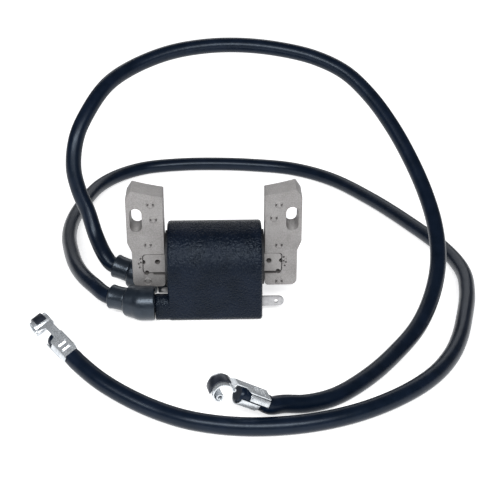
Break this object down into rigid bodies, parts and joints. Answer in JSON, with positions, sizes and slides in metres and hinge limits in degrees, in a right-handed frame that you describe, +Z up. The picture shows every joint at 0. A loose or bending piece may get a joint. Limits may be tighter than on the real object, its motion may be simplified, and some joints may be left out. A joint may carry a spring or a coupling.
{
  "type": "ignition coil",
  "caption": "Magneto ignition coil with a laminated U-shaped core, an arch-topped potted case and free high-voltage leads that end in push-on spark plug terminals.",
  "frame": {"origin": "on the surface that the coil stands on, under the middle of the core", "axes": "+X from the leg on the leads' side to the other leg, +Y from the front of the case to its open back, +Z up to the pole faces"},
  "size_m": [0.1898, 0.2531, 0.0923],
  "materials": {
    "case_plastic": "fine moulded grain, satin",
    "potting_resin": "poured epoxy, glossy",
    "lamination_steel": "stamped silicon steel laminations, dull satin",
    "bobbin_plastic": "glass filled, rough",
    "magnet_wire": "enamelled copper wire",
    "insulation_film": "wrapped polyester film",
    "secondary_bobbin_plastic": "natural moulded plastic",
    "board": "glass epoxy laminate",
    "component_epoxy": "moulded epoxy package",
    "resistor_body": "lacquered body",
    "tab_steel": "tin plated sheet",
    "contact_brass": "bare brass pin",
    "boot_rubber": "moulded rubber, soft sheen",
    "lead_jacket": "extruded jacket, glossy",
    "terminal_plate": "zinc plated sheet steel",
    "clip_steel": "black oxide spring steel"
  },
  "bodies": {
    "root": {"coil_case": "case_plastic", "potting_resin": "potting_resin", "core_bar": "lamination_steel", "left_leg": "lamination_steel", "right_leg": "lamination_steel", "primary_bobbin": "bobbin_plastic", "primary_winding": "magnet_wire", "trigger_winding": "magnet_wire", "secondary_winding_1": "magnet_wire", "secondary_winding_2": "magnet_wire", "secondary_winding_3": "magnet_wire", "secondary_winding_4": "magnet_wire", "insulation_sleeve": "insulation_film", "secondary_bobbin": "secondary_bobbin_plastic", "circuit_board": "board", "switching_transistor": "component_epoxy", "trigger_transistor": "component_epoxy", "bias_resistor_1": "resistor_body", "bias_resistor_2": "resistor_body", "kill_tab": "tab_steel", "ground_tab": "tab_steel", "front_tower_contact": "contact_brass", "rear_tower_contact": "contact_brass", "front_lead_boot": "boot_rubber", "rear_lead_boot": "boot_rubber", "front_lead_collar": "boot_rubber", "rear_lead_collar": "boot_rubber", "front_lead": "lead_jacket", "rear_lead": "lead_jacket", "front_plug_terminal": "terminal_plate", "rear_plug_terminal": "terminal_plate", "front_snap_clip": "clip_steel", "rear_snap_clip": "clip_steel"}
  },
  "joints": []
}
